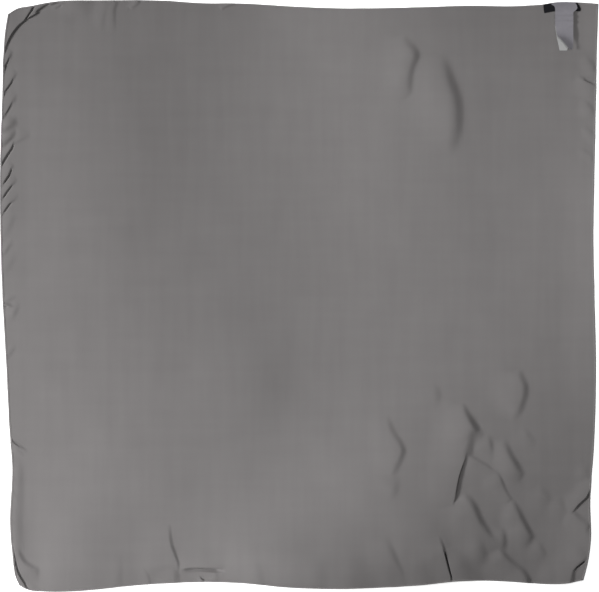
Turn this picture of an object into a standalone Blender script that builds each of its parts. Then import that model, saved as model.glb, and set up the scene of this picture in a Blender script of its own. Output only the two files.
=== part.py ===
"""A square silk scarf laid flat: one light panel, a narrow rolled hem along each side, and at the
top hem a bare black woven label under a two-leaf care label.

Metres, +Z up. The scarf rests on z = 0, its top side is towards +Y and the origin is under its
middle. Every piece is worked out from one map of the square, cloth_point, and one height of the
cloth over the surface it lies on, cloth_height.
"""
from collections import namedtuple

import bmesh
import bpy
import numpy as np

# Driving dimensions
PANEL_THICKNESS = 0.0012
HEM_WIDTH = 0.0032
HEM_THICKNESS = 0.0018
LABEL_THICKNESS = 0.0010
SEAM_GAP = 0.0003
SIDE_LENGTH = 0.890

# Where the four corners lie
Point = namedtuple("Point", "x y")
TOP_LEFT = Point(-0.4425, 0.4280)
TOP_RIGHT = Point(0.4537, 0.4435)
BOTTOM_LEFT = Point(-0.4255, -0.4400)
BOTTOM_RIGHT = Point(0.4310, -0.4315)

# How each side wanders between its corners, as (along, across): x then y on the top and the
# bottom, y then x on the left and the right
TOP_WAVES = [(-0.429, 0.4362), (-0.410, 0.4400), (-0.376, 0.4466), (-0.300, 0.4492),
             (-0.209, 0.4490), (-0.148, 0.4451), (-0.087, 0.4446), (0.004, 0.4394),
             (0.065, 0.4375), (0.156, 0.4384), (0.247, 0.4411), (0.340, 0.4412),
             (0.368, 0.4430), (0.391, 0.4466), (0.417, 0.4465)]
BOTTOM_WAVES = [(-0.410, -0.4467), (-0.391, -0.4483), (-0.330, -0.4470), (-0.270, -0.4416),
                (-0.209, -0.4370), (-0.148, -0.4346), (-0.087, -0.4358), (-0.027, -0.4418),
                (0.034, -0.4447), (0.125, -0.4430), (0.186, -0.4390), (0.247, -0.4329),
                (0.330, -0.4345), (0.378, -0.4378), (0.408, -0.4361)]
LEFT_WAVES = [(0.4010, -0.4470), (0.3700, -0.4500), (0.3100, -0.4516), (0.1740, -0.4552),
              (0.0820, -0.4542), (-0.0090, -0.4513), (-0.1000, -0.4461), (-0.1920, -0.4416),
              (-0.2680, -0.4366), (-0.3440, -0.4394), (-0.4010, -0.4350), (-0.4290, -0.4308)]
RIGHT_WAVES = [(0.4000, 0.4525), (0.2950, 0.4506), (0.1730, 0.4479), (0.0970, 0.4464),
               (-0.0090, 0.4483), (-0.1160, 0.4505), (-0.2220, 0.4480), (-0.3130, 0.4416),
               (-0.3780, 0.4412), (-0.4070, 0.4370)]

# Folds that stand up in the cloth. A path runs down the middle of the fold's steep flank, which
# falls away on the left of the path's direction, over the steep reach. The cloth climbs to the
# crest from the other side, over the gentle reach. A fold that leaves the cloth runs past it.
Fold = namedtuple("Fold", "name path height gentle steep")
FOLDS = [
    Fold("corner_turn", [(-0.402, 0.446), (-0.417, 0.424), (-0.436, 0.398), (-0.456, 0.350)],
         0.0040, 0.016, 0.005),
    Fold("corner_turn_upper", [(-0.360, 0.455), (-0.388, 0.439), (-0.422, 0.414)],
         0.0034, 0.010, 0.005),
    Fold("left_pucker_1", [(-0.440, 0.363), (-0.461, 0.325)], 0.0022, 0.009, 0.005),
    Fold("left_pucker_2", [(-0.430, 0.341), (-0.462, 0.286)], 0.0022, 0.011, 0.005),
    Fold("left_pucker_3", [(-0.426, 0.309), (-0.464, 0.243)], 0.0024, 0.012, 0.005),
    Fold("left_pucker_4", [(-0.429, 0.270), (-0.462, 0.220)], 0.0014, 0.009, 0.005),
    Fold("left_pucker_5", [(-0.429, 0.243), (-0.466, 0.172)], 0.0030, 0.014, 0.005),
    Fold("left_pucker_6", [(-0.432, 0.207), (-0.464, 0.136)], 0.0022, 0.012, 0.005),
    Fold("left_pucker_7", [(-0.429, 0.182), (-0.464, 0.115)], 0.0018, 0.010, 0.005),
    Fold("left_pucker_8", [(-0.431, 0.154), (-0.464, 0.105)], 0.0015, 0.010, 0.005),
    Fold("left_pucker_9", [(-0.432, 0.124), (-0.464, 0.065)], 0.0011, 0.010, 0.005),
    Fold("left_nick", [(-0.450, -0.214), (-0.418, -0.231)], 0.0016, 0.010, 0.005),
    Fold("bottom_left_corner", [(-0.424, -0.398), (-0.413, -0.409), (-0.394, -0.418)],
         0.0020, 0.016, 0.008),
    Fold("bottom_left_tuck", [(-0.438, -0.375), (-0.427, -0.418), (-0.408, -0.452)],
         0.0022, 0.007, 0.005),
    Fold("lower_left_fold", [(-0.196, -0.345), (-0.191, -0.383), (-0.183, -0.420),
                             (-0.181, -0.460)], 0.0026, 0.045, 0.006),
    Fold("lower_left_flap", [(-0.110, -0.413), (-0.148, -0.4145), (-0.186, -0.416)],
         0.0020, 0.016, 0.007),
    Fold("lower_left_notch", [(-0.152, -0.424), (-0.136, -0.446)], 0.0014, 0.010, 0.005),
    Fold("bottom_middle", [(0.135, -0.370), (0.146, -0.405), (0.151, -0.455)],
         0.0018, 0.045, 0.011),
    Fold("middle_fold", [(0.106, -0.156), (0.137, -0.202), (0.159, -0.233), (0.141, -0.282)],
         0.0024, 0.060, 0.013),
    Fold("star_upper_left", [(0.242, -0.150), (0.258, -0.182), (0.280, -0.209)],
         0.0036, 0.050, 0.011),
    Fold("star_lower_left", [(0.268, -0.192), (0.255, -0.238), (0.241, -0.280), (0.232, -0.326)],
         0.0038, 0.060, 0.007),
    Fold("star_upper_right", [(0.330, -0.095), (0.345, -0.138), (0.339, -0.170), (0.316, -0.200)],
         0.0032, 0.050, 0.013),
    Fold("star_middle", [(0.289, -0.207), (0.296, -0.258)], 0.0014, 0.020, 0.009),
    Fold("star_right_1", [(0.310, -0.212), (0.326, -0.245), (0.350, -0.280)],
         0.0028, 0.030, 0.012),
    Fold("star_right_2", [(0.298, -0.258), (0.316, -0.300), (0.340, -0.343), (0.380, -0.400)],
         0.0030, 0.030, 0.009),
    Fold("star_right_3", [(0.340, -0.196), (0.362, -0.224)], 0.0014, 0.020, 0.010),
    Fold("star_right_4", [(0.362, -0.286), (0.384, -0.310)], 0.0016, 0.018, 0.010),
    Fold("star_bottom_1", [(0.242, -0.294), (0.268, -0.322), (0.283, -0.353), (0.308, -0.378)],
         0.0034, 0.036, 0.010),
    Fold("star_bottom_2", [(0.314, -0.340), (0.309, -0.378), (0.332, -0.408), (0.368, -0.440)],
         0.0028, 0.030, 0.010),
    Fold("star_bottom_3", [(0.270, -0.362), (0.282, -0.402)], 0.0022, 0.024, 0.014),
    Fold("bottom_fold", [(0.213, -0.362), (0.224, -0.395), (0.237, -0.462)],
         0.0032, 0.040, 0.007),
    Fold("right_pucker", [(0.466, -0.264), (0.437, -0.304), (0.409, -0.336)],
         0.0024, 0.026, 0.005),
    Fold("right_pucker_foot", [(0.407, -0.318), (0.424, -0.333), (0.446, -0.348)],
         0.0014, 0.020, 0.007),
    Fold("right_pucker_head", [(0.394, -0.300), (0.411, -0.331)], 0.0014, 0.018, 0.009),
    Fold("bottom_right_corner", [(0.440, -0.392), (0.423, -0.414), (0.408, -0.448)],
         0.0026, 0.020, 0.008),
    Fold("upper_short_1", [(0.158, 0.392), (0.173, 0.373), (0.190, 0.362)],
         0.0018, 0.030, 0.011),
    Fold("upper_short_2", [(0.184, 0.374), (0.171, 0.344), (0.171, 0.294)],
         0.0022, 0.040, 0.011),
    Fold("upper_long", [(0.211, 0.378), (0.233, 0.326), (0.243, 0.275), (0.230, 0.208)],
         0.0042, 0.070, 0.015),
    Fold("right_mark_1", [(0.425, 0.334), (0.460, 0.318)], 0.0014, 0.012, 0.006),
    Fold("right_mark_2", [(0.433, 0.306), (0.456, 0.278)], 0.0010, 0.012, 0.006),
]
END_FADE = 0.45         # share of a fold over which each of its ends dies away
PATH_STEPS = 5          # stretches that a fold's path is cut into between its points
FOLD_BLEND = 3          # how firmly the higher of two crossing folds wins

# Low billows of trapped air under the cloth: middle, reach to each side and height
Billow = namedtuple("Billow", "name x y reach_x reach_y height")
BILLOWS = [
    Billow("top_left_corner", -0.415, 0.415, 0.030, 0.034, 0.0036),
    Billow("left_edge", -0.464, -0.010, 0.034, 0.300, 0.0034),
    Billow("left_side", -0.290, 0.120, 0.085, 0.340, 0.0052),
    Billow("bottom_left", -0.338, -0.420, 0.055, 0.110, 0.0048),
    Billow("lower_left_back", -0.075, -0.120, 0.070, 0.075, 0.0042),
    Billow("upper_middle", 0.180, 0.140, 0.120, 0.150, 0.0056),
    Billow("right_edge", 0.472, 0.080, 0.050, 0.200, 0.0040),
    Billow("lower_left", -0.060, -0.370, 0.120, 0.100, 0.0056),
    Billow("lower_middle", 0.140, -0.300, 0.100, 0.130, 0.0060),
    Billow("lower_right", 0.310, -0.270, 0.100, 0.130, 0.0046),
    Billow("right_corner", 0.470, -0.375, 0.065, 0.065, 0.0046),
]
RESTING_LEVEL = 0.0006  # a billow lower than this lies flat
SETTLING = 0.0008       # how softly a billow's foot meets the surface

# The panel's square cells, counted in the smallest of them: every fold is followed by small ones
LATTICE = 176
WIDEST_CELL = 8
FINE_CELL = 0.0085     # a cell as wide as this or more is halved on a fold's steep flank
CELL_GROWTH = 1.2      # how much wider it may be for each metre away on the gentle side
FOOT_GROWTH = 2.5      # how much faster that goes past the steep flank's foot

# Cross-section of the rolled hem: share of its width from the outer edge, share of its thickness
HEM_SECTION = [(0.10, 0.0), (0.90, 0.0), (1.0, 0.5), (0.75, 1.0), (0.25, 1.0), (0.0, 0.5)]

# The labels, row by row: how far down from the scarf's top edge, the row's two ends, and how far
# its left and right ends are lifted over the surface
ON_HEM = HEM_THICKNESS + SEAM_GAP
ON_PANEL = PANEL_THICKNESS + SEAM_GAP
LAYER = LABEL_THICKNESS + SEAM_GAP
LabelRow = namedtuple("LabelRow", "down left right lift_left lift_right")
WOVEN_LABEL = [
    LabelRow(0.0008, 0.3716, 0.4222, ON_HEM, ON_HEM),
    LabelRow(0.0048, 0.3716, 0.4243, ON_HEM, ON_HEM),
    LabelRow(0.0080, 0.3718, 0.4258, ON_PANEL, ON_PANEL),
    LabelRow(0.0142, 0.3722, 0.4276, ON_PANEL, ON_PANEL),
]
CARE_LABEL_LOWER = [
    LabelRow(0.0165, 0.3886, 0.4146, ON_PANEL, ON_PANEL),
    LabelRow(0.0360, 0.3888, 0.4146, ON_PANEL, ON_PANEL),
    LabelRow(0.0525, 0.3908, 0.4146, ON_PANEL, ON_PANEL),
    LabelRow(0.0738, 0.3952, 0.4080, ON_PANEL, ON_PANEL),
]
CARE_LABEL_UPPER = [
    LabelRow(0.0008, 0.3880, 0.4215, ON_HEM + LAYER, ON_HEM + LAYER),
    LabelRow(0.0048, 0.3877, 0.4216, ON_HEM + LAYER, ON_HEM + LAYER),
    LabelRow(0.0085, 0.3876, 0.4208, ON_PANEL + LAYER, ON_PANEL + LAYER),
    LabelRow(0.0160, 0.3876, 0.4158, ON_PANEL + LAYER, ON_PANEL + LAYER),
    LabelRow(0.0240, 0.3877, 0.4156, ON_PANEL + LAYER + 0.0006, ON_PANEL + LAYER + 0.0010),
    LabelRow(0.0330, 0.3878, 0.4156, ON_PANEL + LAYER, ON_PANEL + LAYER),
    LabelRow(0.0465, 0.3884, 0.4156, ON_PANEL + LAYER + 0.0006, ON_PANEL + LAYER),
    LabelRow(0.0510, 0.3914, 0.4156, ON_PANEL + LAYER + 0.0020, ON_PANEL + LAYER),
    LabelRow(0.0610, 0.3990, 0.4156, ON_PANEL + LAYER + 0.0034, ON_PANEL + LAYER),
    LabelRow(0.0695, 0.4054, 0.4156, ON_PANEL + LAYER + 0.0036, ON_PANEL + LAYER),
]
LABEL_COLUMNS = 4

# Colours (linear), roughness
SILK_GREY = (0.190, 0.182, 0.178, 1.0)
LABEL_GREY = (0.240, 0.228, 0.252, 1.0)
LABEL_PALE = (0.400, 0.395, 0.400, 1.0)
LABEL_BLACK = (0.012, 0.012, 0.014, 1.0)


def clear_scene():
    for thing in list(bpy.data.objects):
        bpy.data.objects.remove(thing, do_unlink=True)


def material(name, colour, roughness):
    finish = bpy.data.materials.new(name)
    finish.use_nodes = True
    shader = finish.node_tree.nodes["Principled BSDF"]
    shader.inputs["Base Color"].default_value = colour
    shader.inputs["Roughness"].default_value = roughness
    return finish


def add_object(name, points, faces, finish):
    """One closed piece from its points and faces, with its faces turned outwards."""
    mesh = bpy.data.meshes.new(name)
    mesh.from_pydata([tuple(point) for point in points], [], faces)
    shape = bmesh.new()
    shape.from_mesh(mesh)
    bmesh.ops.recalc_face_normals(shape, faces=shape.faces)
    shape.to_mesh(mesh)
    shape.free()
    mesh.materials.append(finish)
    thing = bpy.data.objects.new(name, mesh)
    bpy.context.collection.objects.link(thing)
    return thing


def smooth_value(rows, at):
    """A smooth curve through (along, across) rows, read at each value in `at`."""
    rows = sorted(rows)
    along = np.array([row[0] for row in rows])
    across = np.array([row[1] for row in rows])
    slope = np.gradient(across, along)
    left = np.clip(np.searchsorted(along, at) - 1, 0, len(rows) - 2)
    span = along[left + 1] - along[left]
    t = (at - along[left]) / span
    rise = t * t * (3 - 2 * t)
    return (across[left] * (1 - rise) + across[left + 1] * rise
            + span * slope[left] * t * (1 - t) ** 2
            - span * slope[left + 1] * t * t * (1 - t))


def side_point(start, end, waves, share, upright):
    """The point at a share of the way along one finished side."""
    if upright:
        along = start.y + (end.y - start.y) * share
        rows = [(start.y, start.x), *waves, (end.y, end.x)]
        return smooth_value(rows, along), along
    along = start.x + (end.x - start.x) * share
    rows = [(start.x, start.y), *waves, (end.x, end.y)]
    return along, smooth_value(rows, along)


def cloth_point(across, down):
    """Where a point of the square lies, from its shares of the way across and down."""
    across = np.asarray(across, float)
    down = np.asarray(down, float)
    top = side_point(TOP_LEFT, TOP_RIGHT, TOP_WAVES, across, False)
    bottom = side_point(BOTTOM_LEFT, BOTTOM_RIGHT, BOTTOM_WAVES, across, False)
    left = side_point(TOP_LEFT, BOTTOM_LEFT, LEFT_WAVES, down, True)
    right = side_point(TOP_RIGHT, BOTTOM_RIGHT, RIGHT_WAVES, down, True)
    place = []
    for axis in (0, 1):
        corners = ((1 - down) * ((1 - across) * TOP_LEFT[axis] + across * TOP_RIGHT[axis])
                   + down * ((1 - across) * BOTTOM_LEFT[axis] + across * BOTTOM_RIGHT[axis]))
        place.append((1 - down) * top[axis] + down * bottom[axis]
                     + (1 - across) * left[axis] + across * right[axis] - corners)
    return place[0], place[1]


def smooth_path(points):
    """A fold's route as many short stretches of one smooth curve through its points."""
    points = np.array(points)
    gaps = np.linalg.norm(np.diff(points, axis=0), axis=1)
    slope = np.gradient(points, np.concatenate(([0.0], np.cumsum(gaps))), axis=0)
    route = [points[0]]
    for start, span in enumerate(gaps):
        for step in range(1, PATH_STEPS + 1):
            t = step / PATH_STEPS
            rise = t * t * (3 - 2 * t)
            route.append(points[start] * (1 - rise) + points[start + 1] * rise
                         + span * slope[start] * t * (1 - t) ** 2
                         - span * slope[start + 1] * t * t * (1 - t))
    return np.array(route)


def from_path(path, x, y):
    """Each point's distance from a route (more than 0 on its left) and share of the way along."""
    route = smooth_path(path)
    lengths = np.linalg.norm(np.diff(route, axis=0), axis=1)
    travelled = np.concatenate(([0.0], np.cumsum(lengths)))
    nearest = np.full(x.shape, np.inf)
    side = np.ones(x.shape)
    share = np.zeros(x.shape)
    for index, length in enumerate(lengths):
        start = route[index]
        way = (route[index + 1] - start) / length
        over_x = x - start[0]
        over_y = y - start[1]
        along = np.clip(over_x * way[0] + over_y * way[1], 0.0, length)
        distance = np.hypot(over_x - way[0] * along, over_y - way[1] * along)
        closer = distance < nearest
        nearest = np.where(closer, distance, nearest)
        side = np.where(closer, np.sign(way[0] * over_y - way[1] * over_x), side)
        share = np.where(closer, (travelled[index] + along) / travelled[-1], share)
    return nearest * side, share


def bell(reach):
    """A smooth hump: 1 at 0, level there, and down to 0 at 1 and beyond."""
    return 0.5 + 0.5 * np.cos(np.pi * np.clip(np.abs(reach), 0.0, 1.0))


def fold_height(fold, x, y):
    """How high one fold stands at each point."""
    distance, share = from_path(fold.path, x, y)
    from_crest = distance + fold.steep / 2
    flank = np.where(from_crest > 0, from_crest / fold.steep, from_crest / fold.gentle)
    ends = bell(1 - np.minimum(share, 1 - share) / END_FADE)
    return fold.height * bell(flank) * np.where(share * (1 - share) > 0, ends, 0.0)


def billow_height(x, y):
    """The low billows, flat where they are too low to lift the cloth."""
    total = np.zeros(x.shape)
    for billow in BILLOWS:
        total += billow.height * np.exp(-((x - billow.x) / billow.reach_x) ** 2
                                        - ((y - billow.y) / billow.reach_y) ** 2)
    lifted = np.maximum(total - RESTING_LEVEL, 0.0)
    return lifted ** 2 / (lifted + SETTLING)


def cloth_height(x, y):
    """Height of the cloth's underside over the surface that the scarf lies on."""
    x = np.asarray(x, float)
    y = np.asarray(y, float)
    crossing = sum(fold_height(fold, x, y) ** FOLD_BLEND for fold in FOLDS)
    return billow_height(x, y) + crossing ** (1 / FOLD_BLEND)


def wanted_cell(x, y):
    """How wide a cell may be at each point: small on the folds' crests and steep flanks."""
    wanted = np.full(x.shape, np.inf)
    for fold in FOLDS:
        distance, share = from_path(fold.path, x, y)
        past_foot = distance - fold.steep / 2
        before_crest = -distance - fold.steep / 2
        beyond = np.maximum(np.maximum(past_foot * FOOT_GROWTH, before_crest), 0.0)
        at_end = share * (1 - share) <= 0
        cell = FINE_CELL + CELL_GROWTH * beyond
        wanted = np.minimum(wanted, np.where(at_end, np.inf, cell))
    return wanted


def panel_share(step):
    """Share of the way across the scarf at a step of the panel's lattice."""
    margin = (HEM_WIDTH + SEAM_GAP) / SIDE_LENGTH
    return margin + (1 - 2 * margin) * np.asarray(step, float) / LATTICE


def panel_cells():
    """The panel's square cells, as (column, row, width) in lattice steps."""
    width = WIDEST_CELL
    waiting = [(column, row) for column in range(0, LATTICE, width)
               for row in range(0, LATTICE, width)]
    finished = []
    while waiting:
        middles = np.array(waiting) + width / 2
        x, y = cloth_point(panel_share(middles[:, 0]), panel_share(middles[:, 1]))
        split = wanted_cell(x, y) < width * SIDE_LENGTH / LATTICE
        if width == 1:
            split[:] = False
        finished += [(*cell, width) for cell, cut in zip(waiting, split) if not cut]
        half = width // 2
        waiting = [(column + i, row + j) for (column, row), cut in zip(waiting, split) if cut
                   for i in (0, half) for j in (0, half)]
        width = half
    return finished


def cell_ring(cell, corners):
    """The lattice points round one cell that are corners of it or of a smaller neighbour."""
    column, row, width = cell
    right, low = column + width, row + width
    ring = ([(column, step) for step in range(row, low)]
            + [(step, low) for step in range(column, right)]
            + [(right, step) for step in range(low, row, -1)]
            + [(step, row) for step in range(right, column, -1)])
    return [point for point in ring if point in corners]


def build_panel(finish):
    """The panel: a thin wall on the cloth's form. Returns the lattice points on its border."""
    cells = panel_cells()
    corners = {(column + i, row + j) for column, row, width in cells
               for i in (0, width) for j in (0, width)}
    places = sorted(corners)
    number = {point: index for index, point in enumerate(places)}
    top_faces = []
    for cell in cells:
        ring = [number[point] for point in cell_ring(cell, corners)]
        if len(ring) == 4:
            top_faces += [(ring[0], ring[1], ring[2]), (ring[0], ring[2], ring[3])]
            continue
        middle = len(places)
        places.append((cell[0] + cell[2] / 2, cell[1] + cell[2] / 2))
        top_faces += [(middle, a, b) for a, b in zip(ring, ring[1:] + ring[:1])]

    steps = np.array(places, float)
    x, y = cloth_point(panel_share(steps[:, 0]), panel_share(steps[:, 1]))
    under = cloth_height(x, y)
    points = ([(*place, high + PANEL_THICKNESS) for *place, high in zip(x, y, under)]
              + [(*place, high) for *place, high in zip(x, y, under)])
    below = len(places)
    faces = list(top_faces) + [tuple(index + below for index in face[::-1]) for face in top_faces]
    whole = (0, 0, LATTICE)
    rim = [number[point] for point in cell_ring(whole, corners)]
    for a, b in zip(rim, rim[1:] + rim[:1]):
        faces += [(b, a, a + below), (b, a + below, b + below)]
    add_object("panel", points, faces, finish)
    return corners


def build_hem(name, steps, locate, finish):
    """One rolled hem. `locate` turns (share in from the edge, share along) into (across, down)."""
    roll = HEM_WIDTH / SIDE_LENGTH
    mitre = SEAM_GAP / SIDE_LENGTH * 0.75
    section = np.array(HEM_SECTION)
    inwards = section[:, 0] * roll
    stations = [inwards + mitre]
    stations += [np.full(len(section), share) for share in panel_share(steps)]
    stations += [1 - inwards - mitre]
    points = []
    for along in stations:
        x, y = cloth_point(*locate(inwards, along))
        middle_x, middle_y = cloth_point(*locate(inwards.mean(), along.mean()))
        under = float(cloth_height(np.array([middle_x]), np.array([middle_y]))[0])
        points += list(zip(x, y, under + section[:, 1] * HEM_THICKNESS))
    size = len(section)
    faces = []
    for station in range(len(stations) - 1):
        for side in range(size):
            a = station * size + side
            b = station * size + (side + 1) % size
            faces += [(a, b, b + size), (a, b + size, a + size)]
    last = (len(stations) - 1) * size
    faces += [(0, side + 1, side) for side in range(1, size - 1)]
    faces += [(last, last + side, last + side + 1) for side in range(1, size - 1)]
    return add_object(name, points, faces, finish)


def build_hems(corners, finish):
    """The four hems, cut into the same stretches as the panel's sides."""
    top = sorted(column for column, row in corners if row == 0)
    bottom = sorted(column for column, row in corners if row == LATTICE)
    left = sorted(row for column, row in corners if column == 0)
    right = sorted(row for column, row in corners if column == LATTICE)
    build_hem("hem_top", top, lambda inwards, along: (along, inwards), finish)
    build_hem("hem_bottom", bottom, lambda inwards, along: (along, 1 - inwards), finish)
    build_hem("hem_left", left, lambda inwards, along: (inwards, along), finish)
    build_hem("hem_right", right, lambda inwards, along: (1 - inwards, along), finish)


def build_label(name, rows, finish):
    """A label leaf: a thin wall through its rows, over the cloth and what lies under it."""
    columns = np.linspace(0.0, 1.0, LABEL_COLUMNS + 1)
    under = []
    for row in rows:
        x = row.left + (row.right - row.left) * columns
        top_y = side_point(TOP_LEFT, TOP_RIGHT, TOP_WAVES,
                           (x - TOP_LEFT.x) / (TOP_RIGHT.x - TOP_LEFT.x), False)[1]
        y = top_y - row.down
        lift = row.lift_right + (row.lift_left - row.lift_right) * (1 - columns) ** 2
        under += list(zip(x, y, cloth_height(x, y) + lift))
    wide = LABEL_COLUMNS + 1
    points = [(x, y, z + LABEL_THICKNESS) for x, y, z in under] + under
    below = len(under)
    top_faces = []
    for row in range(len(rows) - 1):
        for column in range(LABEL_COLUMNS):
            a = row * wide + column
            top_faces += [(a, a + wide, a + wide + 1), (a, a + wide + 1, a + 1)]
    faces = list(top_faces) + [tuple(index + below for index in face[::-1]) for face in top_faces]
    last = (len(rows) - 1) * wide
    rim = (list(range(0, last, wide)) + list(range(last, last + wide - 1))
           + list(range(last + wide - 1, wide - 1, -wide)) + list(range(wide - 1, 0, -1)))
    for a, b in zip(rim, rim[1:] + rim[:1]):
        faces += [(b, a, a + below), (b, a + below, b + below)]
    return add_object(name, points, faces, finish)


def main():
    clear_scene()
    silk = material("silk", SILK_GREY, 0.55)
    hem_silk = material("hem_silk", SILK_GREY, 0.60)
    corners = build_panel(silk)
    build_hems(corners, hem_silk)
    build_label("woven_label", WOVEN_LABEL, material("woven_black", LABEL_BLACK, 0.70))
    build_label("care_label_lower", CARE_LABEL_LOWER, material("care_pale", LABEL_PALE, 0.45))
    build_label("care_label_upper", CARE_LABEL_UPPER, material("care_satin", LABEL_GREY, 0.40))


main()
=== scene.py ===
"""Looks of a square silk scarf that lies flat on a pale surface, seen from straight above.

Metres, +Z up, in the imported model's frame. The panel, its four rolled hems, the stitches that hold
them and the labels are all worked out from one map of the square, cloth_point, and one form of the
cloth over the surface, cloth_form.
"""

import math
from collections import namedtuple

import bpy
import numpy as np
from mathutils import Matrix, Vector


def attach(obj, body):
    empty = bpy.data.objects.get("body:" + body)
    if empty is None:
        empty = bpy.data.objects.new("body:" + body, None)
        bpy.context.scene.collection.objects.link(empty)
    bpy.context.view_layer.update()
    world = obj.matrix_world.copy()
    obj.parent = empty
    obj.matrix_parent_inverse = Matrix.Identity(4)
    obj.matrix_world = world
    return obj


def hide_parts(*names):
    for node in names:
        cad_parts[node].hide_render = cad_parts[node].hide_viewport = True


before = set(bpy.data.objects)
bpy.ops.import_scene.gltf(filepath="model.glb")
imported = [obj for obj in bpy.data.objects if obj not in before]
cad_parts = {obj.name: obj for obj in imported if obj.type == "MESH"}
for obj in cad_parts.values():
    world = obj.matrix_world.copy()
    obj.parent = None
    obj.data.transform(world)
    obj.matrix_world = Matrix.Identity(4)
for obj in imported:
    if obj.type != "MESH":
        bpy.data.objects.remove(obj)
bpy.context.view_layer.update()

# Driving dimensions
SILK_THICKNESS = 0.0004
HEM_WIDTH = 0.0030
HEM_HEIGHT = 0.0007
RIBBON_THICKNESS = 0.0003
SIDE_LENGTH = 0.890
PIXEL = 0.00152                 # of the photograph, on the scarf
PHOTO_WIDTH = 599               # in pixels

# Where the four corners lie
Point = namedtuple("Point", "x y")
TOP_LEFT = Point(-0.4425, 0.4280)
TOP_RIGHT = Point(0.4537, 0.4435)
BOTTOM_LEFT = Point(-0.4255, -0.4400)
BOTTOM_RIGHT = Point(0.4310, -0.4315)

# How each side wanders between its corners, as (along, across): x then y on the top and the
# bottom, y then x on the left and the right
TOP_WAVES = [(-0.429, 0.4362), (-0.410, 0.4400), (-0.376, 0.4466), (-0.300, 0.4492),
             (-0.209, 0.4490), (-0.148, 0.4451), (-0.087, 0.4446), (0.004, 0.4394),
             (0.065, 0.4375), (0.156, 0.4384), (0.247, 0.4411), (0.340, 0.4412),
             (0.368, 0.4430), (0.391, 0.4466), (0.417, 0.4465)]
BOTTOM_WAVES = [(-0.410, -0.4467), (-0.391, -0.4483), (-0.330, -0.4470), (-0.270, -0.4416),
                (-0.209, -0.4370), (-0.148, -0.4346), (-0.087, -0.4358), (-0.027, -0.4418),
                (0.034, -0.4447), (0.125, -0.4430), (0.186, -0.4390), (0.247, -0.4329),
                (0.330, -0.4345), (0.378, -0.4378), (0.408, -0.4361)]
LEFT_WAVES = [(0.4010, -0.4470), (0.3700, -0.4500), (0.3100, -0.4516), (0.1740, -0.4552),
              (0.0820, -0.4542), (-0.0090, -0.4513), (-0.1000, -0.4461), (-0.1920, -0.4416),
              (-0.2680, -0.4366), (-0.3440, -0.4394), (-0.4010, -0.4350), (-0.4290, -0.4308)]
RIGHT_WAVES = [(0.4000, 0.4525), (0.2950, 0.4506), (0.1730, 0.4479), (0.0970, 0.4464),
               (-0.0090, 0.4483), (-0.1160, 0.4505), (-0.2220, 0.4480), (-0.3130, 0.4416),
               (-0.3780, 0.4412), (-0.4070, 0.4370)]

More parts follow.
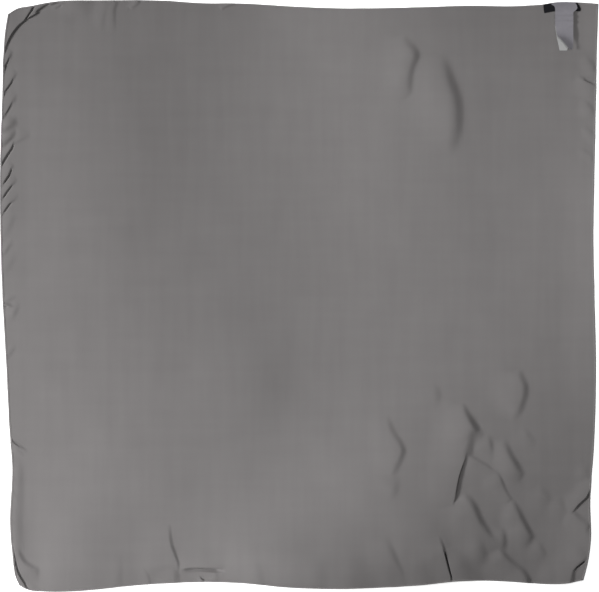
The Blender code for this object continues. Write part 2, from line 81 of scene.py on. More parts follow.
# Folds that stand up in the cloth. A path runs down the middle of the fold's steep flank, which
# falls away on the left of the path's direction, over the steep reach. The cloth climbs to the
# crest from the other side, over the gentle reach. Lean is how far the crest tips over the flank.
# A path's points are (x, y, share of the fold's height there), with no share where it is 1.
Fold = namedtuple("Fold", "name height gentle steep path lean", defaults=[0.0])
FOLDS = [
    Fold("corner_turn", 0.0030, 0.060, 0.005, [(-0.352, 0.453, 0.8), (-0.3715, 0.444, 1.1),
        (-0.3875, 0.436, 1.25), (-0.402, 0.427, 1.25), (-0.414, 0.420, 1.15), (-0.424, 0.4125),
        (-0.433, 0.4025), (-0.4395, 0.392), (-0.444, 0.381, 0.8), (-0.447, 0.371, 0.5),
        (-0.450, 0.3585, 0)], lean=0.001),
    Fold("corner_turn_upper", 0.0019, 0.009, 0.005, [(-0.3975, 0.450), (-0.405, 0.4395), (-0.4125, 0.4295),
        (-0.422, 0.4195, 0)]),
    Fold("corner_crease", 0.0005, 0.009, 0.004, [(-0.4255, 0.4395, 0.8), (-0.4265, 0.4285),
        (-0.431, 0.421, 0.4)]),
    Fold("top_left_patch", 0.0012, 0.012, 0.007, [(-0.3535, 0.447, 0.8), (-0.360, 0.441),
        (-0.3685, 0.437, 0.6), (-0.3775, 0.4355, 0)]),
    Fold("top_left_soft", 0.0023, 0.040, 0.034, [(-0.3215, 0.453), (-0.323, 0.438), (-0.3305, 0.4165, 0)]),
    Fold("top_mark_1", 0.0010, 0.026, 0.008, [(-0.288, 0.447, 0.9), (-0.2935, 0.4315),
        (-0.297, 0.4165, 0.7), (-0.300, 0.4015, 0)]),
    Fold("top_mark_2", 0.0011, 0.026, 0.007, [(-0.276, 0.4485), (-0.2805, 0.436), (-0.281, 0.4225, 0.7),
        (-0.279, 0.398, 0)]),
    Fold("top_mark_3", 0.0012, 0.010, 0.005, [(-0.2425, 0.447), (-0.2485, 0.441, 0.9),
        (-0.256, 0.436, 0.5)]),
    Fold("top_mark_4", 0.0015, 0.010, 0.005, [(-0.0965, 0.444, 0.9), (-0.1085, 0.4395),
        (-0.1195, 0.4345, 0.5)]),
    Fold("left_pucker_1", 0.0020, 0.022, 0.006, [(-0.436, 0.374, 0), (-0.4395, 0.3635, 0.7),
        (-0.443, 0.355, 0.95), (-0.447, 0.348), (-0.450, 0.3405, 0.7), (-0.452, 0.3315, 0.3)]),
    Fold("left_pucker_2", 0.0020, 0.022, 0.006, [(-0.4285, 0.342, 0), (-0.433, 0.333, 0.5),
        (-0.438, 0.323, 0.95), (-0.443, 0.3155), (-0.4475, 0.3085, 0.8), (-0.4535, 0.2995, 0.3)]),
    Fold("left_pucker_3", 0.0017, 0.022, 0.008, [(-0.4285, 0.3085, 0), (-0.433, 0.298, 0.6),
        (-0.438, 0.288, 0.95), (-0.443, 0.279), (-0.4485, 0.2715, 0.7), (-0.4535, 0.263, 0.3)]),
    Fold("left_pucker_4", 0.0028, 0.016, 0.010, [(-0.428, 0.2645, 0), (-0.4355, 0.2585, 0.9),
        (-0.443, 0.2525), (-0.449, 0.2445, 0.5)]),
    Fold("left_pucker_4_low", 0.0026, 0.016, 0.010, [(-0.428, 0.248, 0), (-0.437, 0.2395), (-0.446, 0.231),
        (-0.452, 0.2235, 0.4)]),
    Fold("left_pucker_5", 0.0016, 0.014, 0.006, [(-0.430, 0.243, 0), (-0.4325, 0.234, 0.5),
        (-0.436, 0.224, 0.95), (-0.4425, 0.215), (-0.4485, 0.206, 0.9), (-0.455, 0.1945, 0.4)]),
    Fold("left_pucker_5_top", 0.0009, 0.020, 0.006, [(-0.408, 0.243, 0), (-0.4205, 0.238),
        (-0.431, 0.232, 0.7), (-0.437, 0.2265, 0)]),
    Fold("left_pucker_6", 0.0020, 0.022, 0.006, [(-0.4345, 0.202, 0), (-0.4365, 0.194, 0.5),
        (-0.440, 0.1845, 0.95), (-0.4445, 0.177), (-0.449, 0.1695, 0.8), (-0.455, 0.1595, 0.3)]),
    Fold("left_pucker_7", 0.0016, 0.022, 0.006, [(-0.428, 0.178, 0), (-0.434, 0.171, 0.6),
        (-0.4395, 0.164, 0.95), (-0.4445, 0.1575), (-0.449, 0.1505, 0.8), (-0.4535, 0.1415, 0.3)]),
    Fold("left_pucker_8", 0.0014, 0.022, 0.005, [(-0.425, 0.152, 0), (-0.4345, 0.1445, 0.6),
        (-0.441, 0.1385), (-0.446, 0.1315, 0.95), (-0.4505, 0.1245, 0.6), (-0.4535, 0.1185, 0.3)]),
    Fold("left_pucker_9", 0.0007, 0.020, 0.008, [(-0.4295, 0.126, 0), (-0.437, 0.111), (-0.443, 0.099, 0.9),
        (-0.4505, 0.0835, 0)]),
    Fold("left_pucker_10", 0.0007, 0.020, 0.008, [(-0.428, 0.064, 0), (-0.4385, 0.047),
        (-0.446, 0.0365, 0.7), (-0.452, 0.0275, 0)]),
    Fold("left_pucker_11", 0.0008, 0.010, 0.006, [(-0.434, 0.085, 0), (-0.4445, 0.0685),
        (-0.452, 0.056, 0)]),
    Fold("left_pinch_1", 0.0016, 0.006, 0.004, [(-0.431, -0.019, 0), (-0.4415, -0.0175, 0.8),
        (-0.447, -0.016), (-0.4535, -0.015, 0.8)]),
    Fold("left_pinch_2", 0.0008, 0.008, 0.005, [(-0.4295, -0.0015, 0), (-0.443, -0.0075),
        (-0.4505, -0.009, 0.6)]),
    Fold("left_soft_1", 0.0010, 0.014, 0.008, [(-0.425, -0.0105, 0), (-0.4315, -0.026),
        (-0.440, -0.041, 0)]),
    Fold("left_soft_2", 0.0008, 0.012, 0.007, [(-0.4295, -0.0745, 0), (-0.440, -0.0895),
        (-0.4475, -0.0975, 0.5)]),
    Fold("left_nick", 0.0020, 0.012, 0.004, [(-0.440, -0.219, 0.9), (-0.434, -0.2215), (-0.428, -0.2255),
        (-0.422, -0.2295, 0.6), (-0.4125, -0.2355, 0)]),
    Fold("left_nick_foot", 0.0008, 0.010, 0.005, [(-0.437, -0.2265, 0), (-0.428, -0.2325),
        (-0.417, -0.2415, 0)]),
    Fold("left_soft_3", 0.0009, 0.009, 0.006, [(-0.4295, -0.2705, 0.6), (-0.431, -0.2795),
        (-0.4295, -0.2905, 0.5)]),
    Fold("left_low_band", 0.0013, 0.013, 0.013, [(-0.422, -0.246, 0), (-0.422, -0.2765),
        (-0.4225, -0.310, 0.8), (-0.4235, -0.3405, 0.9), (-0.422, -0.371), (-0.421, -0.395, 0.4)]),
    Fold("left_soft_4", 0.0011, 0.008, 0.005, [(-0.4355, -0.2935, 0.7), (-0.4295, -0.3025),
        (-0.4235, -0.3115, 0.5)]),
    Fold("left_soft_5", 0.0010, 0.007, 0.005, [(-0.437, -0.339, 0.8), (-0.4325, -0.3435),
        (-0.428, -0.3495, 0.4)]),
    Fold("bottom_left_corner", 0.0034, 0.034, 0.008, [(-0.424, -0.365, 0), (-0.425, -0.3815, 0.3),
        (-0.4225, -0.3935, 0.7), (-0.4165, -0.4035), (-0.4075, -0.4095, 1.05), (-0.400, -0.413, 0.7),
        (-0.393, -0.415, 0)]),
    Fold("bottom_left_tuck", 0.0020, 0.018, 0.004, [(-0.4385, -0.3495, 0), (-0.436, -0.380, 0.4),
        (-0.4325, -0.4015, 0.8), (-0.427, -0.418), (-0.4195, -0.4325), (-0.4095, -0.450)]),
    Fold("bottom_left_crease", 0.0009, 0.012, 0.008, [(-0.4155, -0.4225, 0), (-0.408, -0.4315),
        (-0.400, -0.4415, 0.8), (-0.3945, -0.450, 0.5)]),
    Fold("lower_left_fold", 0.0022, 0.060, 0.007, [(-0.1975, -0.3435, 0), (-0.1965, -0.3585, 0.6),
        (-0.1935, -0.3785), (-0.187, -0.395, 1.1), (-0.183, -0.406, 1.1), (-0.183, -0.4165, 0.4),
        (-0.186, -0.427, 0)]),
    Fold("lower_left_pleat", 0.0017, 0.030, 0.012, [(-0.1875, -0.4045, 0), (-0.186, -0.421),
        (-0.186, -0.447)]),
    Fold("lower_left_flap", 0.0032, 0.044, 0.009, [(-0.115, -0.419, 0), (-0.130, -0.417, 0.6),
        (-0.151, -0.4165), (-0.1695, -0.417, 0.8), (-0.186, -0.419, 0)]),
    Fold("lower_left_notch", 0.0010, 0.008, 0.004, [(-0.156, -0.4225, 0), (-0.1475, -0.4295),
        (-0.1405, -0.436), (-0.1345, -0.444, 0.8)]),
    Fold("lower_left_foot", 0.0009, 0.014, 0.008, [(-0.1255, -0.4105, 0), (-0.1245, -0.424),
        (-0.1255, -0.447, 0.6)]),
    Fold("bottom_mark_1", 0.0008, 0.018, 0.006, [(-0.2395, -0.4075, 0), (-0.231, -0.421), (-0.228, -0.4315),
        (-0.227, -0.450, 0.8)]),
    Fold("bottom_mark_2", 0.0006, 0.024, 0.008, [(-0.270, -0.395, 0), (-0.2715, -0.4195),
        (-0.273, -0.450, 0.8)]),
    Fold("bottom_mark_3", 0.0008, 0.040, 0.010, [(-0.0645, -0.398, 0), (-0.0585, -0.421),
        (-0.054, -0.450)]),
    Fold("bottom_mark_4", 0.0010, 0.050, 0.016, [(-0.0055, -0.398, 0), (0.0025, -0.4225),
        (0.0055, -0.453)]),
    Fold("bottom_mark_5", 0.0019, 0.070, 0.034, [(0.028, -0.386, 0), (0.039, -0.418), (0.0435, -0.453)]),
    Fold("bottom_mark_6", 0.0024, 0.070, 0.044, [(0.086, -0.380, 0), (0.098, -0.4135), (0.104, -0.453)]),
    Fold("bottom_middle", 0.0022, 0.060, 0.013, [(0.130, -0.362, 0), (0.1375, -0.380, 0.6),
        (0.1465, -0.398), (0.1545, -0.412), (0.1605, -0.427, 0.8), (0.1635, -0.453, 0.8)]),
    Fold("bottom_mark_7", 0.0031, 0.060, 0.030, [(0.186, -0.380, 0), (0.1955, -0.406, 0.8),
        (0.2015, -0.427), (0.2045, -0.450)]),
    Fold("bottom_fold", 0.0032, 0.075, 0.007, [(0.2105, -0.360, 0), (0.216, -0.374, 0.4),
        (0.2205, -0.3875, 0.9), (0.224, -0.403), (0.228, -0.418, 1.05), (0.2325, -0.4315), (0.238, -0.450)],
        lean=0.001),
    Fold("bottom_mark_8", 0.0035, 0.050, 0.036, [(0.241, -0.374, 0), (0.256, -0.4015), (0.265, -0.424),
        (0.2715, -0.450)]),
    Fold("star_bottom_3", 0.0036, 0.040, 0.016, [(0.270, -0.357, 0), (0.2775, -0.374), (0.2825, -0.389),
        (0.288, -0.4075, 0)]),
    Fold("star_upper_left", 0.0046, 0.046, 0.013, [(0.247, -0.1595, 0), (0.2515, -0.1685, 0.5),
        (0.256, -0.1795, 0.85), (0.2615, -0.190, 1.15), (0.2675, -0.199, 1.1), (0.2735, -0.2045, 0.4),
        (0.282, -0.208, 0)], lean=0.001),
    Fold("star_lower_left_top", 0.0040, 0.060, 0.019, [(0.2715, -0.2005, 0), (0.2645, -0.2115, 0.9),
        (0.2615, -0.2235), (0.258, -0.2355), (0.2525, -0.2495, 0.7), (0.246, -0.2645, 0)]),
    Fold("star_lower_left", 0.0034, 0.060, 0.005, [(0.256, -0.231, 0), (0.250, -0.2495), (0.2445, -0.2645),
        (0.2405, -0.2795), (0.2375, -0.295), (0.236, -0.307, 0.7), (0.2325, -0.324, 0)], lean=0.002),
    Fold("star_left_branch", 0.0015, 0.026, 0.007, [(0.250, -0.237, 0.5), (0.2635, -0.2445),
        (0.2775, -0.2525), (0.2895, -0.260, 0.9), (0.300, -0.267, 0.8), (0.3065, -0.275), (0.310, -0.286),
        (0.317, -0.301, 0.8), (0.326, -0.313, 0.6)]),
    Fold("star_upper_right", 0.0030, 0.050, 0.012, [(0.3335, -0.108, 0), (0.3365, -0.117, 0.6),
        (0.3395, -0.126, 0.9), (0.3435, -0.136, 1.15), (0.344, -0.1465, 1.1), (0.341, -0.159),
        (0.3365, -0.172, 0.9), (0.330, -0.183, 0.4), (0.320, -0.193, 0)]),
    Fold("star_middle_top", 0.0018, 0.034, 0.009, [(0.2875, -0.208, 0), (0.2915, -0.2235, 1.05),
        (0.2955, -0.2385, 0.5), (0.300, -0.2555, 0.15), (0.304, -0.269, 0.7), (0.308, -0.281),
        (0.313, -0.2935, 0.3), (0.3185, -0.304, 0)]),
    Fold("star_middle", 0.0034, 0.034, 0.010, [(0.320, -0.307, 0), (0.3275, -0.316, 0.6), (0.3345, -0.3285),
        (0.3405, -0.341, 1.05), (0.3475, -0.354, 1.2), (0.3525, -0.362, 0.9), (0.358, -0.3685, 0)]),
    Fold("star_middle_end", 0.0013, 0.026, 0.008, [(0.361, -0.371, 0), (0.367, -0.380),
        (0.3715, -0.3875, 0.9), (0.376, -0.395, 0)]),
    Fold("star_right_1", 0.0035, 0.034, 0.011, [(0.3095, -0.2145, 0), (0.3155, -0.228, 0.6),
        (0.322, -0.2425), (0.329, -0.254, 1.15), (0.336, -0.2645, 0.8), (0.343, -0.272, 0)]),
    Fold("star_right_3", 0.0010, 0.026, 0.010, [(0.338, -0.199, 0), (0.346, -0.2075),
        (0.3525, -0.2145, 0.9), (0.361, -0.2205, 0)]),
    Fold("star_right_4", 0.0011, 0.034, 0.012, [(0.3625, -0.286, 0), (0.371, -0.2955), (0.3775, -0.303),
        (0.3855, -0.310, 0)]),
    Fold("star_bottom_1", 0.0040, 0.055, 0.012, [(0.2455, -0.2985, 0), (0.257, -0.307, 0.7),
        (0.266, -0.3185), (0.2715, -0.3315), (0.2775, -0.3435), (0.286, -0.355), (0.2955, -0.365, 0.8),
        (0.3065, -0.3715, 0.4), (0.317, -0.376, 0)]),
    Fold("star_bottom_2_top", 0.0026, 0.034, 0.012, [(0.3085, -0.348, 0), (0.3125, -0.365),
        (0.3115, -0.3785, 0.9), (0.307, -0.392, 0)]),
    Fold("star_bottom_2", 0.0030, 0.044, 0.010, [(0.300, -0.3785, 0), (0.310, -0.390, 1.1),
        (0.320, -0.4005, 1.1), (0.3315, -0.4095), (0.341, -0.418, 1.1), (0.3475, -0.4285, 1.2),
        (0.3505, -0.447)]),
    Fold("right_pucker", 0.0028, 0.024, 0.005, [(0.4505, -0.2825, 0.8), (0.441, -0.2965, 0.9),
        (0.4355, -0.3065), (0.428, -0.313), (0.422, -0.319), (0.4155, -0.3275, 0.7), (0.4065, -0.3405, 0)],
        lean=0.001),
    Fold("right_pucker_foot", 0.0025, 0.026, 0.010, [(0.4065, -0.3175, 0), (0.4195, -0.3305),
        (0.4295, -0.339), (0.4415, -0.348, 0.8)]),
    Fold("right_pucker_head", 0.0013, 0.028, 0.013, [(0.392, -0.3025, 0), (0.400, -0.3145),
        (0.4065, -0.3245), (0.414, -0.3345, 0)]),
    Fold("right_side_mark", 0.0010, 0.020, 0.009, [(0.4355, -0.2525, 0), (0.4385, -0.2705),
        (0.440, -0.292, 0)]),
    Fold("bottom_right_corner", 0.0028, 0.044, 0.008, [(0.4385, -0.392, 0), (0.431, -0.402, 0.7),
        (0.4235, -0.4095, 0.8), (0.417, -0.418), (0.415, -0.4285, 1.1), (0.411, -0.450, 1.1)]),
    Fold("bottom_right_mark", 0.0015, 0.026, 0.020, [(0.390, -0.4015, 0), (0.392, -0.421),
        (0.3915, -0.450)]),
    Fold("middle_fold", 0.0026, 0.060, 0.011, [(0.1315, -0.178, 0), (0.139, -0.1975, 0.6),
        (0.145, -0.210, 0.65), (0.153, -0.222, 0.9), (0.158, -0.234, 1.1), (0.155, -0.246),
        (0.149, -0.2585, 0.8), (0.1375, -0.2795, 0)]),
    Fold("middle_fold_foot", 0.0012, 0.040, 0.012, [(0.151, -0.275, 0), (0.1465, -0.295),
        (0.136, -0.3115, 0)]),
    Fold("middle_mark", 0.0014, 0.040, 0.013, [(0.2015, -0.129, 0), (0.2115, -0.149), (0.206, -0.170, 0)]),
    Fold("lower_left_soft", 0.0020, 0.150, 0.060, [(-0.0205, -0.1155, 0), (-0.048, -0.161, 0.8),
        (-0.063, -0.2065), (-0.057, -0.246, 0.8), (-0.045, -0.2795, 0)]),
    Fold("upper_short", 0.0045, 0.046, 0.015, [(0.156, 0.400, 0), (0.1655, 0.3845, 0.7),
        (0.174, 0.3755, 0.95), (0.1785, 0.3655, 1.1), (0.1755, 0.354, 0.9), (0.1715, 0.3405, 0.9),
        (0.1695, 0.3255, 0.9), (0.1725, 0.301, 0)]),
    Fold("upper_long", 0.0059, 0.068, 0.017, [(0.2145, 0.371, 0), (0.2235, 0.348, 0.8),
        (0.229, 0.3315, 1.05), (0.234, 0.3175, 1.1), (0.239, 0.301, 1.05), (0.242, 0.2825),
        (0.242, 0.2645, 0.95), (0.2395, 0.246, 0.75), (0.2345, 0.228, 0.4), (0.227, 0.2065, 0)]),
    Fold("right_mark_1", 0.0027, 0.030, 0.008, [(0.422, 0.335, 0), (0.431, 0.3305, 0.8), (0.4385, 0.327),
        (0.446, 0.323), (0.457, 0.319, 0.6)]),
    Fold("right_mark_2", 0.0015, 0.020, 0.009, [(0.431, 0.301, 0), (0.441, 0.2905), (0.446, 0.2825),
        (0.449, 0.2705, 0)]),
    Fold("right_mark_3", 0.0012, 0.014, 0.008, [(0.4325, 0.260, 0), (0.443, 0.2495), (0.452, 0.243, 0.8)]),
    Fold("right_mark_4", 0.0008, 0.014, 0.007, [(0.422, 0.228, 0), (0.437, 0.219, 0.8), (0.4475, 0.2115)]),
    Fold("right_mark_5", 0.0014, 0.018, 0.009, [(0.434, 0.368, 0), (0.443, 0.3565), (0.4505, 0.3495)]),
]

# Tight tucks: narrow grooves that cut through whatever stands there, down by a share of its
# height. A path's points are (x, y, share of the cut there), with no share where it is 1.
Tuck = namedtuple("Tuck", "name cut reach path")
TUCKS = [
    Tuck("corner_turn", 0.97, 0.0026, [(-0.358, 0.451, 0.7), (-0.3745, 0.4425, 0.9), (-0.3875, 0.436),
        (-0.4015, 0.427), (-0.414, 0.4195), (-0.424, 0.412, 0.95), (-0.4325, 0.4025, 0.9),
        (-0.439, 0.3925, 0.9), (-0.4435, 0.381, 0.8), (-0.4465, 0.371, 0.5)]),
    Tuck("corner_turn_wedge", 0.95, 0.0038, [(-0.3745, 0.444, 0.7), (-0.384, 0.440), (-0.393, 0.435),
        (-0.402, 0.429, 0.7)]),
    Tuck("corner_turn_upper", 0.80, 0.0017, [(-0.400, 0.4425, 0.8), (-0.406, 0.4355), (-0.411, 0.4285),
        (-0.4165, 0.4205), (-0.4205, 0.415, 0.8)]),
    Tuck("left_pucker_1", 0.95, 0.0021, [(-0.4385, 0.365, 0.2), (-0.4425, 0.3555, 0.9), (-0.446, 0.349),
        (-0.450, 0.3405, 0.7)]),
    Tuck("left_pucker_2", 0.95, 0.0019, [(-0.4325, 0.3335, 0.2), (-0.437, 0.3235, 0.9), (-0.443, 0.315),
        (-0.4485, 0.3075, 0.7)]),
    Tuck("left_pucker_3", 0.60, 0.0030, [(-0.4325, 0.2985, 0.2), (-0.437, 0.289, 0.9), (-0.4425, 0.279),
        (-0.4485, 0.2705, 0.7)]),
    Tuck("left_pucker_5", 0.97, 0.0023, [(-0.4325, 0.2355, 0.2), (-0.4355, 0.2255, 0.9), (-0.4425, 0.2145),
        (-0.449, 0.2035), (-0.453, 0.196, 0.6)]),
    Tuck("left_pucker_6", 0.95, 0.0018, [(-0.4355, 0.197, 0.2), (-0.4395, 0.1855, 0.9), (-0.445, 0.1765),
        (-0.450, 0.1685, 0.7)]),
    Tuck("left_pucker_7", 0.75, 0.0018, [(-0.433, 0.171, 0.2), (-0.440, 0.1625, 0.9), (-0.446, 0.1545),
        (-0.4505, 0.146, 0.6)]),
    Tuck("left_pucker_8", 0.70, 0.0018, [(-0.4345, 0.1435, 0.2), (-0.441, 0.1375, 0.9), (-0.446, 0.1305),
        (-0.450, 0.1245, 0.6)]),
    Tuck("left_pinch_1", 0.90, 0.0016, [(-0.4425, -0.0165, 0.6), (-0.446, -0.0165), (-0.449, -0.016)]),
    Tuck("left_nick", 0.60, 0.0018, [(-0.4355, -0.221, 0.8), (-0.4295, -0.225), (-0.422, -0.2305, 0.7)]),
    Tuck("bottom_left_tuck", 0.97, 0.0021, [(-0.436, -0.371, 0.3), (-0.433, -0.3935, 0.5),
        (-0.4295, -0.4105, 0.9), (-0.425, -0.4225), (-0.418, -0.4345), (-0.411, -0.447)]),
    Tuck("bottom_left_edge", 0.95, 0.0016, [(-0.433, -0.4045, 0.6), (-0.431, -0.4195), (-0.4285, -0.4315),
        (-0.424, -0.4395), (-0.417, -0.444, 0.8)]),
    Tuck("lower_left_notch", 0.60, 0.0015, [(-0.151, -0.4265, 0.6), (-0.1465, -0.430),
        (-0.142, -0.4345, 0.8)]),
    Tuck("star_lower_left", 0.97, 0.0014, [(0.251, -0.246, 0.3), (0.2455, -0.2615), (0.241, -0.2765),
        (0.238, -0.2935), (0.2365, -0.3085, 0.8)]),
    Tuck("bottom_fold", 0.85, 0.0020, [(0.2175, -0.3815, 0.3), (0.222, -0.3965), (0.226, -0.412),
        (0.230, -0.427), (0.2325, -0.438)]),
    Tuck("right_pucker", 0.95, 0.0023, [(0.4415, -0.2965, 0.9), (0.4355, -0.3065), (0.4295, -0.3125),
        (0.4235, -0.318), (0.417, -0.326, 0.8)]),
    Tuck("bottom_right_corner", 0.90, 0.0016, [(0.434, -0.4015, 0.8), (0.427, -0.4075), (0.421, -0.4125),
        (0.4155, -0.4195, 0.6)]),
    Tuck("right_mark_1", 0.80, 0.0034, [(0.4315, 0.3305, 0.6), (0.438, 0.328), (0.444, 0.3255),
        (0.449, 0.323, 0.8)]),
    Tuck("top_left_patch", 0.50, 0.0024, [(-0.3595, 0.4425, 0.8), (-0.365, 0.4385), (-0.3715, 0.437, 0.6)]),
    Tuck("lower_left_flap", 0.90, 0.0038, [(-0.1115, -0.4175, 0.8), (-0.133, -0.416), (-0.151, -0.4155),
        (-0.1665, -0.416), (-0.1815, -0.4175, 0.8)]),
    Tuck("top_mark_4", 0.60, 0.0020, [(-0.101, 0.4415, 0.7), (-0.110, 0.4385), (-0.118, 0.4355, 0.5)]),
]

# How paths, folds and tucks are worked out
PATH_STEPS = 6          # stretches that a path is cut into between its points
PATH_PULL = 8           # how firmly a point keeps to the nearest stretch of a path
TINY = 1e-9             # keeps a distance above 0
END_FADE = 0.08         # share of a fold over which each of its ends dies away
NARROWEST = 0.35        # share of a fold's gentle reach that is left where it has no height
FOLD_BLEND = 3          # how firmly the higher of two crossing folds wins
LEAN_MARGIN = 0.009     # how far inside the finished edge a lean has its full size
TUCK_FADE = 0.25        # share of a tuck over which each of its ends dies away
TUCK_BREADTH = 1.6      # how broad the floor of a tuck is: 1 for a rounded one

# Low billows of trapped air under the cloth: middle, reach to each side and height
Billow = namedtuple("Billow", "name x y reach_x reach_y height")
BILLOWS = [
    Billow("top_left_corner", -0.448, 0.430, 0.024, 0.030, 0.0034),
    Billow("left_side", -0.303, 0.180, 0.108, 0.240, 0.0058),
    Billow("left_edge", -0.454, 0.140, 0.030, 0.150, 0.0018),
    Billow("left_edge_low", -0.452, -0.360, 0.030, 0.120, 0.0046),
    Billow("bottom_left", -0.336, -0.430, 0.070, 0.110, 0.0096),
    Billow("lower_left_back", -0.075, -0.120, 0.070, 0.075, 0.0042),
    Billow("upper_middle", 0.180, 0.140, 0.120, 0.150, 0.0056),
    Billow("right_edge", 0.472, 0.050, 0.050, 0.240, 0.0078),
    Billow("lower_left", -0.060, -0.390, 0.120, 0.090, 0.0050),
    Billow("lower_middle", 0.140, -0.300, 0.100, 0.130, 0.0046),
    Billow("lower_right", 0.310, -0.270, 0.100, 0.130, 0.0038),
    Billow("bottom_edge", 0.070, -0.398, 0.230, 0.036, 0.0060),
    Billow("bottom_left_inner", -0.372, -0.410, 0.028, 0.070, 0.0014),
    Billow("bottom_middle", 0.200, -0.362, 0.055, 0.045, 0.0040),
    Billow("top_right_corner", 0.470, 0.428, 0.045, 0.050, 0.0068),
    Billow("bottom_middle_left", -0.063, -0.392, 0.060, 0.040, 0.0026),
    Billow("right_corner", 0.480, -0.380, 0.068, 0.070, 0.0142),
]
RESTING_LEVEL = 0.0006  # a billow lower than this lies flat
SETTLING = 0.0008       # how softly a billow's foot meets the surface

# The panel's square cells, counted in the smallest of them: small ones follow every fold
LATTICE = 1280
WIDEST_CELL = 16
FOLD_SHARE = 0.36       # of a fold's steep reach: how wide a cell may be on its flank
TUCK_SHARE = 0.40       # of a tuck's reach: how wide a cell may be in it
FOLD_GROWTH = 0.26      # how much wider it may be for each metre away from a fold's flank
TUCK_GROWTH = 0.52      # and away from a tuck
PANEL_INSET = 0.0016    # how far the panel's edge lies inside the finished edge, within the roll

# The four sides: how shares (in from the edge, along it) turn into shares (across, down), and
# the seed of what is uneven there
SIDES = [
    ("top", lambda inwards, along: (along, inwards), 11),
    ("bottom", lambda inwards, along: (along, 1 - inwards), 12),
    ("left", lambda inwards, along: (inwards, along), 13),
    ("right", lambda inwards, along: (1 - inwards, along), 14),
]

# The hems' roll
HEM_STEP = 0.0028       # between two cross-sections
HEM_SIDES = 12          # points of a cross-section
UNEVEN_WIDTH = 0.10     # how much the roll's width varies, as a share
UNEVEN_HEIGHT = 0.15    # how much its height varies
WIDTH_SCALE = 0.016     # the length over which its width changes
HEIGHT_SCALE = 0.011    # the length over which its height changes
HEIGHT_SEED = 50        # added to a side's seed

# The stitches that hold a hem
STITCH_STEP = 0.0066
FIRST_STITCH = 1.2      # how many steps from the corner
STITCH_STRAY = 0.3      # how far a stitch strays from its place, as a share of the step
STITCH_START = 0.62     # where on the roll a stitch begins, as a share of the roll's width
STITCH_LENGTH = 0.0022
STITCH_LENGTHS = (0.8, 1.2)     # of the shortest and the longest, as shares of that
STITCH_SLANT = 0.0012
STITCH_POINTS = 4
STITCH_SIDES = 5
STITCH_SEED = 100       # added to a side's seed
THREAD_WIDTH = 0.00026
THREAD_RISE = 0.3       # of its width: how far a thread's middle lies over the cloth

# The labels, row by row: how far down from the scarf's top edge, the row's two ends, and how far
# its left and right ends stand over what lies below
LabelRow = namedtuple("LabelRow", "down left right lift_left lift_right")
WOVEN_LABEL = [
    LabelRow(0.0004, 0.3712, 0.4222, 0.0012, 0.0012),
    LabelRow(0.0030, 0.3708, 0.4236, 0.0012, 0.0012),
    LabelRow(0.0060, 0.3710, 0.4252, 0.0008, 0.0010),
    LabelRow(0.0100, 0.3714, 0.4274, 0.0006, 0.0008),
    LabelRow(0.0138, 0.3720, 0.4262, 0.0006, 0.0006),
]
CARE_LABEL_LOWER = [
    LabelRow(0.0165, 0.3886, 0.4146, 0.0005, 0.0005),
    LabelRow(0.0400, 0.3890, 0.4146, 0.0005, 0.0005),
    LabelRow(0.0545, 0.3912, 0.4140, 0.0006, 0.0005),
    LabelRow(0.0650, 0.3934, 0.4110, 0.0008, 0.0005),
    LabelRow(0.0738, 0.3953, 0.4062, 0.0010, 0.0006),
]
CARE_LABEL_UPPER = [
    LabelRow(0.0002, 0.3816, 0.4184, 0.0022, 0.0018),
    LabelRow(0.0030, 0.3830, 0.4200, 0.0034, 0.0022),
    LabelRow(0.0060, 0.3866, 0.4212, 0.0040, 0.0030),
    LabelRow(0.0095, 0.3880, 0.4216, 0.0038, 0.0036),
    LabelRow(0.0125, 0.3882, 0.4196, 0.0034, 0.0040),
    LabelRow(0.0150, 0.3882, 0.4164, 0.0020, 0.0040),
    LabelRow(0.0194, 0.3882, 0.4157, 0.0014, 0.0036),
    LabelRow(0.0230, 0.3882, 0.4157, 0.0026, 0.0046),
    LabelRow(0.0270, 0.3882, 0.4157, 0.0012, 0.0034),
    LabelRow(0.0305, 0.3884, 0.4157, 0.0024, 0.0046),
    LabelRow(0.0345, 0.3886, 0.4157, 0.0010, 0.0034),
    LabelRow(0.0400, 0.3896, 0.4156, 0.0014, 0.0040),
    LabelRow(0.0455, 0.3902, 0.4156, 0.0028, 0.0044),
    LabelRow(0.0510, 0.3914, 0.4156, 0.0058, 0.0046),
    LabelRow(0.0560, 0.3952, 0.4156, 0.0090, 0.0042),
    LabelRow(0.0620, 0.4003, 0.4155, 0.0100, 0.0040),
    LabelRow(0.0680, 0.4054, 0.4152, 0.0092, 0.0038),
    LabelRow(0.0722, 0.4092, 0.4146, 0.0080, 0.0036),
]
LABEL_COLUMNS = 12
LABEL_ROW_STEP = 0.0012
LABEL_CURL = 1.6        # how close to a row's left end its lift there stays: 1 for a straight row

# The silk and its hems
SILK_GREY = (0.1530, 0.1460, 0.1455, 1.0)
# The hems' grey is lighter than the panel's: a painted highlight where the rolls catch the light
HEM_GREY_PAINTED_LIT = (0.1680, 0.1600, 0.1600, 1.0)
SILK_SHEEN = {"Roughness": 0.85, "Sheen_Weight": 0.10, "Sheen_Roughness": 0.4,
              "Specular_IOR_Level": 0.12}
SILK_PITCH = 0.00034    # between two threads

# How the unevenness of the cloths changes along x, y and z, in times a metre
WARP_SCALE = (75.0, 6.0, 1.0)
WEFT_SCALE = (5.0, 70.0, 1.0)
CLOUD_SCALE = (16.0, 16.0, 1.0)
HEM_SCALE = (420.0, 420.0, 60.0)
RIBBON_SCALE = (180.0, 180.0, 180.0)
WAVE_TURN = 20          # radians that a wave texture of scale 1 turns through over a metre

